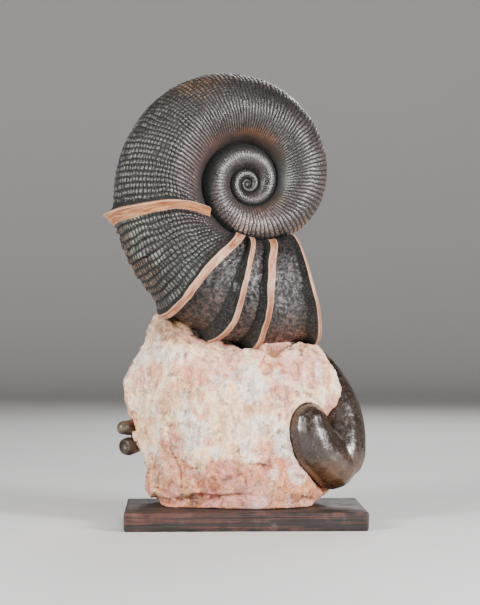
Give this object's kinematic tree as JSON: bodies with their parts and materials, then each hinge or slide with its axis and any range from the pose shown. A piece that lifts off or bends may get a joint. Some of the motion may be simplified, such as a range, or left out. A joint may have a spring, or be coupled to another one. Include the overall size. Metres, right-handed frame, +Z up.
{
  "type": "lytoceras ammonite fossil",
  "caption": "Large coiled ammonite fossil with flared collars, standing on a rough limestone block with a hooked fossil at its side, on a wooden plinth.",
  "frame": {"origin": "middle of the plinth's underside", "axes": "+Z up, +X to the right along the plinth's length as the front is seen, +Y towards the back; the front faces -Y"},
  "size_m": [0.3536, 0.2033, 0.6104],
  "materials": {
    "fossil_shell": "satin polished fossil shell, dark grey-brown with tan collar edges",
    "limestone": "rough broken limestone, cream and pink",
    "brown_fossil": "smooth polished brown fossil",
    "small_fossil": "broken brown fossil",
    "painted_wood": "black painted board, rubbed through to red-brown along the grain"
  },
  "bodies": {
    "root": {"ammonite_shell": "fossil_shell", "matrix_block": "limestone", "hook_fossil": "brown_fossil", "small_ammonite": "small_fossil", "plinth": "painted_wood"}
  },
  "joints": []
}
